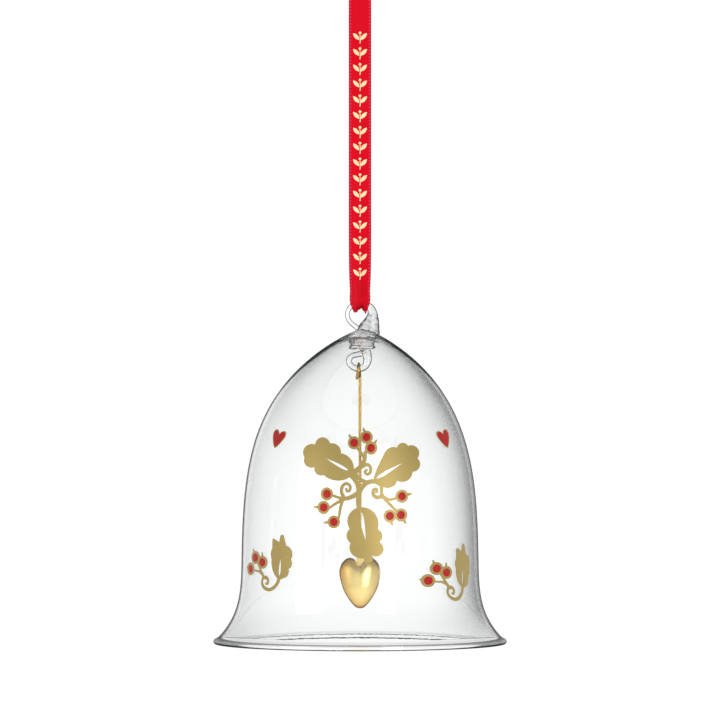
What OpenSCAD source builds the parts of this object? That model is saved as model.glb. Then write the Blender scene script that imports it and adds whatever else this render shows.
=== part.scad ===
// Christmas bell ornament: a mouth-blown glass bell with a gold heart clapper, hung on a satin ribbon.
// Millimetres, +Z up. The origin is the hang point, where a hook or twig carries the ribbon's loop.

/* [Glass bell] */
// Height of the blown glass from the rim to the tip of the crown
bell_h = 98.4; // [82:0.1:120]
// Diameter over the rolled rim
mouth_d = 91.4; // [76:0.1:110]
// Diameter of the lower wall, where it is nearly straight
waist_d = 74; // [61:0.5:89]
// Height over which the wall flares out to the rim
flare_h = 30; // [20:1:45]
// Thickness of the blown wall
wall = 1.2; // [0.8:0.1:2]
// Thickness of the bead that is rolled along the rim
rim_bead_d = 1.6; // [1.3:0.1:2.4]

/* [Crown] */
// Diameter of the glass button that closes the crown
seal_d = 8.2; // [6.8:0.1:10]
// How far the button reaches below the tip of the crown
seal_depth = 6.4; // [5.4:0.1:8]
// Inside diameter of the glass ring on the crown
hanging_hole_d = 5.5; // [4.6:0.1:6.6]
// Thickness of that ring's rod
hanging_rod_d = 1.7; // [1.4:0.1:2.2]
// Thickness of the ring's root, where its rod starts from the crown
root_d = 3.6; // [3:0.1:4.4]
// Inside diameter of the glass ring that holds the clapper
clapper_hole_d = 4.2; // [3.5:0.1:5.1]
// Thickness of the clapper ring's rod
clapper_rod_d = 2; // [1.6:0.1:2.4]

/* [Clapper] */
// Thickness of the gold wire
wire_d = 0.9; // [0.7:0.05:1.1]
// Height of the heart's hinge, the bottom of the wire's lower eye, above the rim
heart_hinge_h = 27.8; // [23:0.1:33]
// Inside diameter of the wire's lower eye
lower_eye_d = 1.8; // [1.5:0.05:2.2]
// Width of the heart
heart_w = 13; // [10.8:0.1:15.6]
// Height of the heart
heart_h = 15.8; // [13.1:0.1:19]
// Thickness of the heart
heart_t = 7.6; // [6.3:0.1:9.2]
// Width of the tab's foot, which stands in the heart's notch
tab_w = 2.2; // [1.8:0.1:2.6]
// Thickness of the tab
tab_t = 0.8; // [0.6:0.05:1]
// Metal between the tab's hole and its edge
tab_edge = 0.7; // [0.5:0.05:0.85]

/* [Prints] */
// Thickness of the fired gold and enamel
print_t = 0.15; // [0.1:0.01:0.2]
// Height of the front print's stem crossing above the rim
front_print_h = 48.2; // [42:0.1:55]
// Height of the side prints' curl above the rim
side_print_h = 20; // [18:0.1:24]
// Turn of the left side print about the bell, from the front
left_print_turn = -51; // [-60:1:-45]
// Turn of the right side print about the bell, from the front
right_print_turn = 49; // [44:1:60]
// Height of the small hearts' tips above the rim
small_heart_h = 61.4; // [55:0.1:66]
// Width of a small heart
small_heart_w = 6.6; // [5.5:0.1:8]
// Width of a small heart's gold edge
small_heart_edge = 0.45; // [0.3:0.05:0.6]
// Length of a leaf on the front print
leaf_l = 17.4; // [14.5:0.1:19]
// Width of a leaf on the front print
leaf_w = 12.4; // [10.4:0.1:14]
// Length of a leaf on a side print
side_leaf_l = 13.6; // [11.4:0.1:15]
// Width of a leaf on a side print
side_leaf_w = 9.4; // [7.8:0.1:11]
// Diameter of a berry over its gold rim
berry_d = 3.7; // [3.1:0.1:4.2]
// Width of a berry's gold rim
berry_rim = 0.6; // [0.4:0.05:0.75]
// Width of a stem
stem_w = 0.9; // [0.75:0.05:1.1]

/* [Ribbon] */
// Width of the ribbon
ribbon_w = 7; // [5.8:0.1:8.4]
// Thickness of the ribbon
ribbon_t = 0.35; // [0.3:0.01:0.42]
// Length of each tail above the knot
tail_l = 11; // [9:0.5:14]

/* [Fits] */
// Clearance between the ribbon and the glass ring that hangs in it
ribbon_clearance = 0.15; // [0.1:0.01:0.2]
// Clearance between the wire's upper eye and the glass ring
eye_clearance = 0.12; // [0.08:0.01:0.2]
// Clearance between the wire's lower eye and the tab's hole
tab_clearance = 0.12; // [0.1:0.01:0.2]
// Clearance under a print, so that it lies on the wall and not in it
print_clearance = 0.02; // [0.01:0.01:0.04]

/* [Hidden] */
$fn = 64;

// The wall's outline is a superellipse with these two powers, and a steep flare down to the rim.
dome_power = 4.55;
nose_power = 1.19;
flare_power = 3.8;
outline_steps = 32;
mouth_r = mouth_d / 2;
waist_r = waist_d / 2;
bead_r = rim_bead_d / 2;
bead_mid_r = mouth_r - bead_r;
flare = (bead_mid_r + wall / 2 - waist_r) / pow(1 - bead_r / flare_h, flare_power);

function dome_r(z, r, h) = r * pow(1 - pow(z / h, dome_power), 1 / nose_power);
function dome_z(r, full_r, h) = h * pow(1 - pow(r / full_r, nose_power), 1 / dome_power);
function flare_r(z) = z < flare_h ? flare * pow(1 - z / flare_h, flare_power) : 0;
// Heights along the outline, closest together at the rim and at the crown.
function outline_z(i, top) = bead_r + (top - bead_r) * (1 - cos(180 * i / outline_steps)) / 2;
function outside(z) = dome_r(z, waist_r, bell_h) + flare_r(z);
function inside(z) = dome_r(z, waist_r - wall, bell_h - wall) + flare_r(z);

seal_r = seal_d / 2;
seal_bottom = bell_h - seal_depth;
outside_top = dome_z(seal_r, waist_r, bell_h);
inside_top = dome_z(seal_r, waist_r - wall, bell_h - wall);
outer_line = [for (i = [0 : outline_steps]) let (z = outline_z(i, outside_top)) [outside(z), z]];
inner_line = [for (i = [outline_steps : -1 : 0]) let (z = outline_z(i, inside_top)) [inside(z), z]];
seal_steps = 6;
seal_line = [for (i = [seal_steps : -1 : 0])
    let (r = seal_r * i / seal_steps) [r, dome_z(r, waist_r, bell_h)]];

// The ribbon's middle line, from the knot down in front, under the glass ring and up behind.
// Each point is [y, z, width as a share, curl across the width in 1/mm].
ribbon_front = [
    [-0.5, 1.5, 0.50, 0.10],
    [-1.1, 1.1, 0.55, 0.08],
    [-1.9, 0.3, 0.65, 0.04],
    [-2.4, -1.0, 0.78, 0.02],
    [-2.6, -2.5, 0.90, 0],
    [-2.6, -5.0, 0.98, 0],
    [-2.6, -9.0, 1.00, 0],
    [-2.5, -20.0, 1.00, 0],
    [-2.4, -32.0, 1.00, 0],
    [-2.3, -44.0, 1.00, 0],
    [-2.2, -56.0, 1.00, 0],
    [-2.1, -68.0, 1.00, 0],
    [-2.0, -80.0, 1.00, 0.01],
    [-1.9, -89.0, 0.98, 0.02],
    [-1.8, -94.0, 0.94, 0.04],
    [-1.8, -97.0, 0.90, 0.06],
    [-1.8, -99.0, 0.93, 0.08],
    [-1.7, -100.4, 0.93, 0.15],
    [-1.4, -101.3, 0.84, 0.27],
    [-0.8, -101.9, 0.66, 0.38]
];
ribbon_bottom = [0, -102.1, 0.57, 0.38];
ribbon_back = [for (i = [len(ribbon_front) - 1 : -1 : 0])
    let (p = ribbon_front[i]) [-p[0], p[1], p[2], p[3]]];
ribbon_line = concat(ribbon_front, [ribbon_bottom], ribbon_back);
strip_columns = 5;
knot_w = 8.4;
knot_d = 5.6;
knot_h = 5.4;
knot_bottom = 1;
// The knot is two crossed balls: one low and full, one tall and slim.
knot_low_share = 0.6;
knot_slim_share = [0.6, 0.8];
// Where a tail leaves the knot: sideways, forwards, and up as a share of the knot's height.
tail_out = 1.2;
tail_fore = 0.9;
tail_up_share = 0.7;
tail_lean = 24;
ball_steps = 32;

// Heights along the object, from the ring that hangs in the ribbon down to the rim.
hanging_rod_r = hanging_rod_d / 2;
hanging_ring_r = (hanging_hole_d + hanging_rod_d) / 2;
swing_z = ribbon_bottom[1] + ribbon_t / 2 + ribbon_clearance + hanging_rod_r;
ring_sink = 0.5;
ring_mid_h = bell_h - ring_sink + hanging_rod_r + hanging_ring_r;
rim_z = swing_z - hanging_ring_r - ring_mid_h;
root_lean = 8;
root_l = 8.5;

clapper_rod_r = clapper_rod_d / 2;
clapper_ring_r = (clapper_hole_d + clapper_rod_d) / 2;
clapper_sink = 0.6;
clapper_mid_h = seal_bottom + clapper_sink - clapper_rod_r - clapper_ring_r;
clapper_hinge_h = clapper_mid_h - clapper_ring_r;

wire_r = wire_d / 2;
eye_slack = 0.5;
upper_eye_r = clapper_rod_r + eye_clearance + eye_slack + wire_r;
upper_eye_h = clapper_hinge_h - eye_slack;
lower_eye_r = (lower_eye_d + wire_d) / 2;
lower_eye_h = heart_hinge_h + lower_eye_r;

tab_hole_r = wire_r + 2 * tab_clearance;
tab_hole_h = heart_hinge_h + wire_r + tab_clearance - tab_hole_r;
tab_r = tab_hole_r + tab_edge;
tab_foot = 3;
notch_drop = 1;
heart_top = heart_hinge_h - notch_drop;
// The heart is two lobes and a belly, sized as shares of its width and height.
lobe_share = 0.27;
belly_share = 0.29;
belly_drop_share = 0.42;
lobe_r = heart_w * lobe_share;
lobe_long = 1.25;
belly_r = heart_w * belly_share;
belly_drop = heart_h * belly_drop_share;
belly_long = 1.1;
heart_tip_r = 1;
tip_steps = 20;

// Print layouts, [x, z] on the wall, seen from outside, from the stem crossing or the curl.
leaf_points = 20;
leaf_lobes = 3.5;
leaf_dent = 0.2;
// Powers that move a leaf's widest part, round its ends and narrow its dents.
leaf_skew = 0.8;
leaf_round = 0.6;
dent_power = 3;
// A leaf's slit: where it starts, is widest and ends, along the leaf.
slit_shares = [0.14, 0.22, 0.56];
slit_w = 0.9;
curl_r = 1.7;
front_leaves = [[-1.4, 6.0, 159], [4.4, 4.0, 27], [0.3, -4.2, -82]];
front_curls = [[2.5, 6.2], [-4.0, 0.5], [4.8, 0.1]];
front_berries = [
    [-1.5, 14.9], [2.2, 16.7], [3.7, 13.4],
    [-9.8, -0.7], [-10.8, -4.8], [-7.7, -9.3],
    [13.0, -1.4], [9.3, -7.4], [12.9, -7.2]
];
front_stems = [
    [[0, 0], [-1.2, 6.5]], [[0, 0], [5, 4.5]], [[0.2, 0.4], [0.2, -5]],
    [[-1, 6.2], [2.2, 10.4]], [[2.2, 10.4], [-1.5, 14.9]], [[2.2, 10.4], [3.7, 13.4]],
    [[0, 0], [-5.5, -2]], [[-5.5, -2], [-9.8, -0.7]],
    [[-5.5, -2], [-10.8, -4.8]], [[-5.5, -2], [-7.7, -9.3]],
    [[7, 3.5], [7.2, -0.8]], [[7.2, -0.8], [13, -1.4]], [[7.2, -0.8], [12.4, -6.8]],
    [[2.3, 7.5], [2.2, 10.4]], [[5.8, -1.2], [7.2, -0.8]], [[6.3, 0.1], [7.4, 2.4]]
];
side_leaves = [[5.4, 1.6, 80]];
side_curls = [[-0.6, 0.3]];
side_berries = [[-5.0, 6.8], [-1.4, 5.6], [-7.9, 3.2]];
side_stems = [
    [[-1.4, 1.6], [-5, 6.8]], [[-2, 2.4], [-7.9, 3.2]],
    [[-1.8, -0.6], [0.6, -2.2]], [[0.6, -2.2], [3.4, -1.4]], [[3.4, -1.4], [5.6, 2.2]]
];
// How far each print may reach below and above its starting height.
front_span = [26, 22];
side_span = [6, 20];
heart_span = [6, 12];
print_reach = 60;
// A small heart's shares of its width: lobe size, lobe height, flank, and the notch over the lobes.
print_lobe = 0.28;
print_lobe_rise = 0.62;
print_flank = [0.47, 0.74];
print_notch = 1.1;
// How far the red is lifted from the gold edge's tip, as a share of the edge.
red_lift = 1.3;
left_heart_turn = -51;
right_heart_turn = 53;

module from_rim() {
    translate([0, 0, rim_z]) children();
}

// A ring of round rod that stands upright across Y, or across X when turned.
module rod_ring(ring_r, rod_r, turn = 0) {
    rotate([90, 0, turn]) rotate_extrude() translate([ring_r, 0]) circle(r = rod_r);
}

// ---- Ribbon ----

function along(i) = ribbon_line[min(i + 1, len(ribbon_line) - 1)] - ribbon_line[max(i - 1, 0)];
function strip_point(p, out, u, side) =
    let (curl = p[3], turn = curl * u * 180 / PI)
    let (x = curl > 0 ? sin(turn) / curl : u, bow = curl > 0 ? (1 - cos(turn)) / curl : 0)
    [x, p[0] + out[0] * (bow + side), p[1] + out[1] * (bow + side)];
function strip_ring(i) =
    let (p = ribbon_line[i], t = along(i), n = norm([t[0], t[1]]), out = [t[1], -t[0]] / n)
    let (w = ribbon_w * p[2])
    let (across = [for (k = [0 : strip_columns - 1]) w * (k / (strip_columns - 1) - 0.5)])
    concat(
        [for (u = across) strip_point(p, out, u, ribbon_t / 2)],
        [for (u = across) strip_point(p, out, -u, -ribbon_t / 2)]
    );

module ribbon() {
    rings = len(ribbon_line);
    sides = 2 * strip_columns;
    points = [for (i = [0 : rings - 1]) each strip_ring(i)];
    walls = [for (i = [0 : rings - 2], k = [0 : sides - 1])
        let (a = i * sides + k, b = i * sides + (k + 1) % sides)
        each [[a, b, b + sides], [a, b + sides, a + sides]]];
    last = (rings - 1) * sides;
    ends = [for (a = [0 : strip_columns - 2])
        let (b = sides - 1 - a)
        each [
            [a, b, b - 1], [a, b - 1, a + 1],
            [last + a, last + b - 1, last + b], [last + a, last + a + 1, last + b - 1]
        ]];
    color("#d6082c") polyhedron(points, concat(walls, ends));
}

module ribbon_knot() {
    color("#c8062a") {
        translate([0, 0, knot_bottom + knot_h / 2]) hull() {
            scale([knot_w, knot_d, knot_h * knot_low_share]) sphere(d = 1, $fn = ball_steps);
            scale([knot_w * knot_slim_share[0], knot_d * knot_slim_share[1], knot_h])
                sphere(d = 1, $fn = ball_steps);
        }
        for (side = [-1, 1])
            translate([side * tail_out, side * tail_fore, knot_bottom + knot_h * tail_up_share])
                rotate([0, side * tail_lean, 0])
                    translate([-ribbon_w / 2, -ribbon_t / 2, 0]) cube([ribbon_w, ribbon_t, tail_l]);
    }
}

// ---- Glass ----

module glass_bell() {
    color("#e6eceb", 0.35) from_rim() rotate_extrude() {
        polygon(concat(outer_line, inner_line));
        translate([bead_mid_r, bead_r]) circle(r = bead_r);
    }
}

module crown_seal() {
    color("#dfe7e6", 0.4) from_rim() rotate_extrude()
        polygon(concat([[0, seal_bottom], [seal_r, seal_bottom]], seal_line));
}

// The crown as one solid, for cutting what is fused on to it.
module crown_solid() {
    shoulder = [for (p = outer_line) if (p[1] > bell_h / 2) p];
    rotate_extrude()
        polygon(concat([[0, bell_h / 2], [shoulder[0][0], bell_h / 2]], shoulder, seal_line));
}

module hanging_loop() {
    color("#dfe7e6", 0.4) from_rim() difference() {
        union() {
            translate([0, 0, ring_mid_h]) rod_ring(hanging_ring_r, hanging_rod_r);
            translate([hanging_ring_r, 0, ring_mid_h]) rotate([0, 180 - root_lean, 0])
                cylinder(h = root_l, r1 = hanging_rod_r, r2 = root_d / 2);
        }
        crown_solid();
    }
}

module clapper_loop() {
    color("#dfe7e6", 0.4) from_rim() difference() {
        translate([0, 0, clapper_mid_h]) rod_ring(clapper_ring_r, clapper_rod_r);
        translate([0, 0, seal_bottom]) cylinder(h = seal_depth, r = seal_r);
    }
}

// ---- Prints ----

function leaf_side(t, w) =
    let (dent = leaf_dent * pow(abs(cos(180 * leaf_lobes * t)), dent_power))
    w / 2 * pow(sin(180 * pow(t, leaf_skew)), leaf_round) * (1 - dent);
function leaf_edge(l, w) = concat(
    [for (i = [0 : leaf_points]) [l * i / leaf_points, leaf_side(i / leaf_points, w)]],
    [for (i = [leaf_points - 1 : -1 : 1]) [l * i / leaf_points, -leaf_side(i / leaf_points, w)]]
);

module leaf(place, l, w) {
    slit = slit_shares * l;
    translate([place[0], place[1]]) rotate(place[2]) difference() {
        polygon(leaf_edge(l, w));
        polygon([[slit[0], 0], [slit[1], slit_w / 2], [slit[2], 0], [slit[1], -slit_w / 2]]);
    }
}

module stem(ends) {
    run = ends[1] - ends[0];
    translate(ends[0]) rotate(atan2(run[1], run[0]))
        translate([0, -stem_w / 2]) square([norm(run), stem_w]);
}

module gold_art(leaves, stems, curls, berries, l, w) {
    difference() {
        union() {
            for (place = leaves) leaf(place, l, w);
            for (ends = stems) stem(ends);
            for (at = curls) translate(at) difference() {
                circle(r = curl_r);
                circle(r = curl_r - stem_w);
            }
            for (at = berries) translate(at) circle(d = berry_d);
        }
        for (at = berries) translate(at) circle(d = berry_d - 2 * berry_rim);
    }
}

module red_art(berries) {
    for (at = berries) translate(at) circle(d = berry_d - 2 * berry_rim);
}

module heart_art(w) {
    lobe = w * print_lobe;
    lobe_x = w / 2 - lobe;
    lobe_h = w * print_lobe_rise;
    flank = [w * print_flank[0], lobe_h * print_flank[1]];
    for (side = [-1, 1]) translate([side * lobe_x, lobe_h]) circle(r = lobe);
    polygon([[0, 0], flank, [lobe_x, lobe_h], [0, lobe_h * print_notch],
        [-lobe_x, lobe_h], [-flank[0], flank[1]]]);
}

// Lays flat artwork on the wall: the part of a thin skin over the wall that lies behind the artwork.
module on_wall(h, turn, span) {
    near = [for (p = outer_line) if (p[1] > h - span[0] && p[1] < h + span[1]) p];
    skin = concat([for (p = near) [p[0] + print_clearance, p[1]]],
        [for (i = [len(near) - 1 : -1 : 0]) [near[i][0] + print_clearance + print_t, near[i][1]]]);
    from_rim() rotate([0, 0, turn]) intersection() {
        rotate_extrude() polygon(skin);
        translate([0, 0, h]) rotate([90, 0, 0]) linear_extrude(height = print_reach) children();
    }
}

module gold_side(turn) {
    color("#a8944e") on_wall(side_print_h, turn, side_span)
        gold_art(side_leaves, side_stems, side_curls, side_berries, side_leaf_l, side_leaf_w);
}

module red_side(turn) {
    color("#be2a2e") on_wall(side_print_h, turn, side_span) red_art(side_berries);
}

module gold_small_heart(turn) {
    inner = (small_heart_w - 2 * small_heart_edge) / small_heart_w;
    color("#a8944e") on_wall(small_heart_h, turn, heart_span) difference() {
        heart_art(small_heart_w);
        translate([0, small_heart_edge * red_lift]) heart_art(small_heart_w * inner);
    }
}

module red_small_heart(turn) {
    inner = (small_heart_w - 2 * small_heart_edge) / small_heart_w;
    color("#c8383f") on_wall(small_heart_h, turn, heart_span)
        translate([0, small_heart_edge * red_lift]) heart_art(small_heart_w * inner);
}

module gold_sprig_front() {
    color("#a8944e") on_wall(front_print_h, 0, front_span)
        gold_art(front_leaves, front_stems, front_curls, front_berries, leaf_l, leaf_w);
}

module red_berries_front() {
    color("#be2a2e") on_wall(front_print_h, 0, front_span) red_art(front_berries);
}

module gold_sprig_left() {
    gold_side(left_print_turn);
}

module red_berries_left() {
    red_side(left_print_turn);
}

module gold_sprig_right() {
    gold_side(right_print_turn);
}

module red_berries_right() {
    red_side(right_print_turn);
}

module gold_heart_left() {
    gold_small_heart(left_heart_turn);
}

module red_heart_left() {
    red_small_heart(left_heart_turn);
}

module gold_heart_right() {
    gold_small_heart(right_heart_turn);
}

module red_heart_right() {
    red_small_heart(right_heart_turn);
}

// ---- Clapper ----

module clapper_wire() {
    shank_bottom = lower_eye_h + lower_eye_r;
    shank_top = upper_eye_h - upper_eye_r;
    color("#b8862b") from_rim() {
        translate([0, 0, upper_eye_h]) rod_ring(upper_eye_r, wire_r, 90);
        translate([0, 0, shank_bottom]) cylinder(h = shank_top - shank_bottom, r = wire_r);
        translate([0, 0, lower_eye_h]) rod_ring(lower_eye_r, wire_r, 90);
    }
}

module heart_tab() {
    foot = heart_top - tab_foot;
    color("#d8ac48") from_rim() translate([0, tab_t / 2, 0]) rotate([90, 0, 0])
        linear_extrude(height = tab_t) difference() {
            union() {
                translate([0, tab_hole_h]) circle(r = tab_r);
                translate([-tab_w / 2, foot]) square([tab_w, tab_hole_h - foot]);
            }
            translate([0, tab_hole_h]) circle(r = tab_hole_r);
        }
}

// A swelling of the heart that tapers down to its tip.
module heart_swelling(x, drop, r, long) {
    hull() {
        translate([x, 0, heart_top - drop])
            scale([r, heart_t / 2, r * long]) sphere(r = 1, $fn = ball_steps);
        translate([0, 0, heart_top - heart_h + heart_tip_r]) sphere(r = heart_tip_r, $fn = tip_steps);
    }
}

module heart_clapper() {
    color("#e3b04b") from_rim() difference() {
        union() {
            for (side = [-1, 1])
                heart_swelling(side * (heart_w / 2 - lobe_r), lobe_r * lobe_long, lobe_r, lobe_long);
            heart_swelling(0, belly_drop, belly_r, belly_long);
        }
        translate([-tab_w / 2, -tab_t / 2, heart_top - tab_foot]) cube([tab_w, tab_t, heart_h]);
    }
}

ribbon();
ribbon_knot();
glass_bell();
crown_seal();
hanging_loop();
clapper_loop();
gold_sprig_front();
red_berries_front();
gold_sprig_left();
red_berries_left();
gold_sprig_right();
red_berries_right();
gold_heart_left();
red_heart_left();
gold_heart_right();
red_heart_right();
clapper_wire();
heart_tab();
heart_clapper();
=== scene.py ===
import math

import bmesh
import bpy
import numpy as np
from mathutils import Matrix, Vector
from mathutils.geometry import delaunay_2d_cdt


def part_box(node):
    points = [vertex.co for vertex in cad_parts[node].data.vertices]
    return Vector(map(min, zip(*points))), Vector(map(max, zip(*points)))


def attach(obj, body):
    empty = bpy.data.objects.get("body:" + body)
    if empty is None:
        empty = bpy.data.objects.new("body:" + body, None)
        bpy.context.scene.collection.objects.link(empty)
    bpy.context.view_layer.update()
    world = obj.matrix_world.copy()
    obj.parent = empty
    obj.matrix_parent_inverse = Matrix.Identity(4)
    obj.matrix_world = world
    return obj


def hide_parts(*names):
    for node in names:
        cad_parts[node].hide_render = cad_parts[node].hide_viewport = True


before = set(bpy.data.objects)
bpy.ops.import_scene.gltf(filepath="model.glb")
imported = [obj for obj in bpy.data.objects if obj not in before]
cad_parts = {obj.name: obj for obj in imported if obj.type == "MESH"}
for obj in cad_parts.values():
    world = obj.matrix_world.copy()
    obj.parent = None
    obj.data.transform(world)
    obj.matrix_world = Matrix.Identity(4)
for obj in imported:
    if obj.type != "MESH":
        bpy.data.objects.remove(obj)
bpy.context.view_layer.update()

mm = 0.001
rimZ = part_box("glass_bell")[0].z / mm  # the rim's plane; heights on the bell are counted from here, in mm


# mesh helpers; all shapes are worked out in mm and turned to metres here

def buildMesh(name, points, faces, rise=0.0, sharpAngle=None):
    data = bpy.data.meshes.new(name)
    coords = (np.asarray(points, float) + (0, 0, rise)) * mm
    data.from_pydata(coords.tolist(), [], [tuple(int(k) for k in face) for face in faces])
    shell = bmesh.new()
    shell.from_mesh(data)
    bmesh.ops.recalc_face_normals(shell, faces=shell.faces)
    shell.to_mesh(data)
    shell.free()
    data.shade_smooth()
    if sharpAngle:
        data.set_sharp_from_angle(angle=math.radians(sharpAngle))
    piece = bpy.data.objects.new(name, data)
    bpy.context.scene.collection.objects.link(piece)
    return piece


def keepValues(piece, **values):
    # numbers that its finish reads, one for each point
    for name, numbers in values.items():
        kept = piece.data.attributes.new(name, "FLOAT", "POINT")
        kept.data.foreach_set("value", np.asarray(numbers, float))


def joinParts(parts):
    # several (points, faces) as one
    points, faces = [], []
    for partPoints, partFaces in parts:
        start = len(points)
        points.extend(list(partPoints))
        faces.extend([tuple(k + start for k in face) for face in partFaces])
    return points, faces


def smoothCurve(points, steps, closed=False):
    # a smooth curve through every point
    p = np.asarray(points, float)
    count = len(p)
    if not closed:
        p = np.vstack([2 * p[0] - p[1], p, 2 * p[-1] - p[-2]])
    curve = []
    for i in range(count if closed else count - 1):
        if closed:
            a, b, c, d = p[i - 1], p[i], p[(i + 1) % count], p[(i + 2) % count]
        else:
            a, b, c, d = p[i:i + 4]
        for t in np.arange(steps) / steps:
            curve.append(0.5 * (2 * b + (c - a) * t + (2 * a - 5 * b + 4 * c - d) * t * t
                                + (3 * b - a - 3 * c + d) * t ** 3))
    if not closed:
        curve.append(p[-2])
    return np.array(curve)


def unit(vectors):
    vectors = np.asarray(vectors, float)
    return vectors / np.maximum(np.linalg.norm(vectors, axis=-1, keepdims=True), 1e-9)


def sweep(line, sections, side):
    # a solid along a line; each section is a ring of (sideways, upwards) points
    line = np.asarray(line, float)
    ahead = unit(np.gradient(line, axis=0))
    side = np.asarray(side, float)
    points = []
    for place, forward, section in zip(line, ahead, sections):
        side = unit(side - forward * (side @ forward))
        top = np.cross(side, forward)
        points.extend(place + side * a + top * b for a, b in section)
    k = len(sections[0])
    rings = len(line)
    faces = [(i * k + j, i * k + (j + 1) % k, (i + 1) * k + (j + 1) % k, (i + 1) * k + j)
             for i in range(rings - 1) for j in range(k)]
    faces.append(tuple(range(k)))
    faces.append(tuple(range((rings - 1) * k, rings * k)))
    return points, faces


def roundSections(radii, sides=20):
    turns = np.arange(sides) / sides * 2 * math.pi
    return [[(r * math.cos(t), r * math.sin(t)) for t in turns] for r in radii]


def roundedRod(line, radii, side=(0, 1, 0), sides=20, capSteps=4):
    # a rod of changing thickness with dome ends
    line, radii = np.asarray(line, float), np.asarray(radii, float)
    first, last = unit(line[0] - line[1]), unit(line[-1] - line[-2])
    turns = np.linspace(0, math.pi / 2, capSteps + 1)[1:]
    head = [(line[0] + first * radii[0] * math.sin(t), radii[0] * max(math.cos(t), 0.05))
            for t in turns[::-1]]
    tail = [(line[-1] + last * radii[-1] * math.sin(t), radii[-1] * max(math.cos(t), 0.05)) for t in turns]
    path = [p for p, r in head] + list(line) + [p for p, r in tail]
    sizes = [r for p, r in head] + list(radii) + [r for p, r in tail]
    return sweep(path, roundSections(sizes, sides), side)


def lathe(line, turns):
    # turns a line of (radius, height) that starts and ends on the axis
    points = [(0, 0, line[0][1])]
    inner = line[1:-1]
    for r, z in inner:
        points.extend((r * math.sin(a), -r * math.cos(a), z) for a in np.arange(turns) / turns * 2 * math.pi)
    points.append((0, 0, line[-1][1]))
    last = len(points) - 1
    faces = [(0, 1 + j, 1 + (j + 1) % turns) for j in range(turns)]
    for i in range(len(inner) - 1):
        a, b = 1 + i * turns, 1 + (i + 1) * turns
        faces.extend((a + j, b + j, b + (j + 1) % turns, a + (j + 1) % turns) for j in range(turns))
    a = last - turns
    faces.extend((a + j, last, a + (j + 1) % turns) for j in range(turns))
    return points, faces


# camera, level with the upper part of the bell

view = {"distance": 1.71, "height": 88.4, "lens": 274.4}
cameraData = bpy.data.cameras.new("camera")
cameraData.lens = view["lens"]
cameraData.sensor_width = 36
cameraData.clip_start = 0.01
camera = bpy.data.objects.new("camera", cameraData)
bpy.context.scene.collection.objects.link(camera)
camera.location = (0, -view["distance"], (rimZ + view["height"]) * mm)
camera.rotation_euler = (math.radians(90), 0, 0)
bpy.context.scene.camera = camera
print("camera is set")


# node helpers

class Field:
    # a socket whose value can be used in sums
    def __init__(self, kit, socket):
        self.kit, self.socket = kit, socket

    def sum(self, operation, a, b):
        return self.kit.node("ShaderNodeMath", {"operation": operation}, {0: a, 1: b})

    def __add__(self, other):
        return self.sum("ADD", self, other)

    def __radd__(self, other):
        return self.sum("ADD", other, self)

    def __sub__(self, other):
        return self.sum("SUBTRACT", self, other)

    def __rsub__(self, other):
        return self.sum("SUBTRACT", other, self)

    def __mul__(self, other):
        return self.sum("MULTIPLY", self, other)

    def __rmul__(self, other):
        return self.sum("MULTIPLY", other, self)

    def __truediv__(self, other):
        return self.sum("DIVIDE", self, other)

    def __pow__(self, other):
        return self.sum("POWER", self, other)

    def __mod__(self, other):
        return self.sum("FLOORED_MODULO", self, other)

    def size(self):
        return self.sum("ABSOLUTE", self, 0)

    def above(self, edge, blur):
        # 0 below the edge and 1 above it, over a short slope
        return self.kit.node("ShaderNodeMapRange", {"interpolation_type": "SMOOTHSTEP"},
                             {"Value": self, "From Min": edge - blur, "From Max": edge + blur})

    def below(self, edge, blur):
        return 1 - self.above(edge, blur)


class NodeKit:
    def __init__(self, tree):
        self.tree = tree

    def feed(self, socket, value):
        if isinstance(value, Field):
            self.tree.links.new(value.socket, socket)
        elif isinstance(value, (tuple, list)) and len(value) == 3 and len(socket.default_value) == 4:
            socket.default_value = (*value, 1)
        else:
            socket.default_value = value

    def node(self, kind, settings=None, sockets=None, out=0):
        made = self.tree.nodes.new(kind)
        for name, value in (settings or {}).items():
            setattr(made, name, value)
        for name, value in (sockets or {}).items():
            self.feed(made.inputs[name], value)
        return Field(self, made.outputs[out])

    def mixColour(self, share, first, second):
        return self.node("ShaderNodeMix", {"data_type": "RGBA"}, {0: share, 6: first, 7: second}, out=2)

    def noise(self, scale, detail=3, where=None):
        where = where or self.node("ShaderNodeTexCoord", out=3)
        return self.node("ShaderNodeTexNoise", {}, {"Vector": where, "Scale": scale, "Detail": detail})

    def stretched(self, scale):
        # object coordinates, stretched by three factors
        where = self.node("ShaderNodeTexCoord", out=3)
        return self.node("ShaderNodeVectorMath", {"operation": "MULTIPLY"}, {0: where, 1: scale})

    def bump(self, height, strength, distance):
        return self.node("ShaderNodeBump", {}, {"Height": height, "Strength": strength, "Distance": distance})

    def value(self, name):
        # a number kept on each point of the mesh
        return self.node("ShaderNodeAttribute", {"attribute_name": name}, out=2)


def newFinish(name, **constants):
    # a material with these constants on its shader; returns it with its node kit and shader
    material = bpy.data.materials.new(name)
    material.use_nodes = True
    kit = NodeKit(material.node_tree)
    shader = material.node_tree.nodes["Principled BSDF"]
    for socket, value in constants.items():
        kit.feed(shader.inputs[socket.replace("_", " ")], value)
    return material, kit, shader


def paint(piece, material, body):
    piece.data.materials.clear()
    piece.data.materials.append(material)
    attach(piece, body)


# ribbon: satin, doubled through the glass ring and knotted above

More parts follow.
